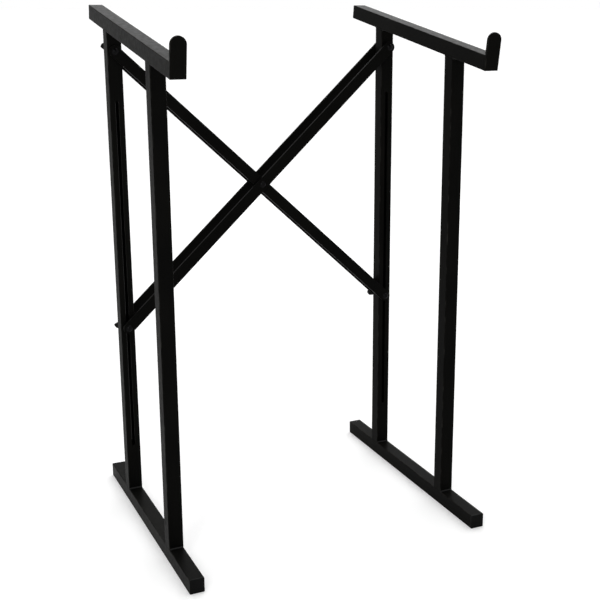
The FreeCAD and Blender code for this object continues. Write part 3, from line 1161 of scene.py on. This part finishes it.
def studio_world():
    """White where it is seen; as light, brighter behind the stand than in front of it."""
    world = bpy.data.worlds.new("studio")
    world.use_nodes = True
    tree = world.node_tree
    background = tree.nodes["Background"]
    points = add_node(tree, "ShaderNodeTexCoord", (-1200, 0)).outputs["Generated"]
    parts = add_node(tree, "ShaderNodeSeparateXYZ", (-1000, 0))
    tree.links.new(points, parts.inputs["Vector"])
    bright = spread(tree, (-400, 60), parts.outputs["Y"], WORLD_SPAN, WORLD_LIGHT)
    most = combine(tree, (-150, -60), "MAXIMUM", bright, seen_share(tree, (-300, -250)))
    tree.links.new(most, background.inputs["Strength"])
    background.inputs["Color"].default_value = (1, 1, 1, 1)
    bpy.context.scene.world = world


def photo_camera():
    """The camera where the photograph was taken from."""
    yaw, pitch, roll = (math.radians(angle) for angle in (CAMERA_YAW, CAMERA_PITCH, CAMERA_ROLL))
    level = math.cos(pitch)
    forward = Vector((math.sin(yaw) * level, math.cos(yaw) * level, -math.sin(pitch)))
    right = Vector((math.cos(yaw), -math.sin(yaw), 0))
    up = right.cross(forward)
    across = right * math.cos(roll) + up * math.sin(roll)
    above = up * math.cos(roll) - right * math.sin(roll)
    turn = Matrix((across, above, -forward)).transposed().to_4x4()
    data = bpy.data.cameras.new("photo_camera")
    data.sensor_width = CAMERA_SENSOR
    data.lens = CAMERA_LENS
    data.shift_x, data.shift_y = CAMERA_SHIFT
    camera = bpy.data.objects.new("photo_camera", data)
    camera.matrix_world = Matrix.Translation(CAMERA_AT) @ turn
    bpy.context.scene.collection.objects.link(camera)
    bpy.context.scene.camera = camera


class STAND_OT_stage(bpy.types.Operator):
    """Makes the floor, the light and the camera"""

    bl_idname = "stand.stage"
    bl_label = "Stage"

    def execute(self, context):
        shape = bmesh.new()
        bmesh.ops.create_grid(shape, x_segments=1, y_segments=1, size=FLOOR_REACH)
        mesh = bpy.data.meshes.new("floor")
        shape.to_mesh(mesh)
        shape.free()
        mesh.materials.append(floor_finish(context.scene.mixer_stand.finishes.floor))
        floor = bpy.data.objects.new("floor", mesh)
        context.scene.collection.objects.link(floor)
        add_soft_sun("overhead_light", aim=(-0.25, -0.3, -1), strength=1.7, angle=70)
        add_softbox("back_softbox", place=(2.05, 3.6, 2.1), size=(3.4, 1.0), watts=24)
        add_softbox("front_lamp", place=(-1.4, -1.65, 1.35), size=(0.5, 0.5), watts=10)
        studio_world()
        photo_camera()
        context.scene.view_settings.view_transform = "Standard"
        return {"FINISHED"}


class STAND_PT_panel(bpy.types.Panel):
    """The stand's pieces and sizes in the sidebar"""

    bl_idname = "STAND_PT_panel"
    bl_label = "Mixer stand"
    bl_space_type = "VIEW_3D"
    bl_region_type = "UI"
    bl_category = "Stand"

    def draw(self, context):
        column = self.layout.column()
        for operator in OPERATORS:
            column.operator(operator.bl_idname)
        settings = context.scene.mixer_stand
        for group in (settings.tubes, settings.hardware, settings.finishes):
            column.separator()
            for name in group.bl_rna.properties.keys():
                if name not in ("rna_type", "name"):
                    column.prop(group, name)


OPERATORS = (
    STAND_OT_foot_tubes,
    STAND_OT_uprights,
    STAND_OT_top_rails,
    STAND_OT_lip_plates,
    STAND_OT_end_plugs,
    STAND_OT_weld_beads,
    STAND_OT_brace_bars,
    STAND_OT_bolts,
    STAND_OT_spacers,
    STAND_OT_crossing_nut,
    STAND_OT_wing_nuts,
    STAND_OT_stage,
)
CLASSES = (TubeSizes, HardwareSizes, Finishes, StandSettings, *OPERATORS, STAND_PT_panel)


def register():
    """Adds the stand's classes and settings."""
    for cls in CLASSES:
        bpy.utils.register_class(cls)
    bpy.types.Scene.mixer_stand = PointerProperty(
        type=StandSettings, name="Mixer stand", description="Sizes and colours of the stand",
    )


def unregister():
    """Takes the stand's classes and settings away."""
    del bpy.types.Scene.mixer_stand
    for cls in reversed(CLASSES):
        bpy.utils.unregister_class(cls)


def main():
    """Builds every piece and the stage."""
    register()
    bpy.ops.stand.foot_tubes()
    bpy.ops.stand.uprights()
    bpy.ops.stand.top_rails()
    bpy.ops.stand.lip_plates()
    bpy.ops.stand.end_plugs()
    bpy.ops.stand.weld_beads()
    bpy.ops.stand.brace_bars()
    bpy.ops.stand.bolts()
    bpy.ops.stand.spacers()
    bpy.ops.stand.crossing_nut()
    bpy.ops.stand.wing_nuts()
    bpy.ops.stand.stage()


if __name__ == "__main__":
    main()
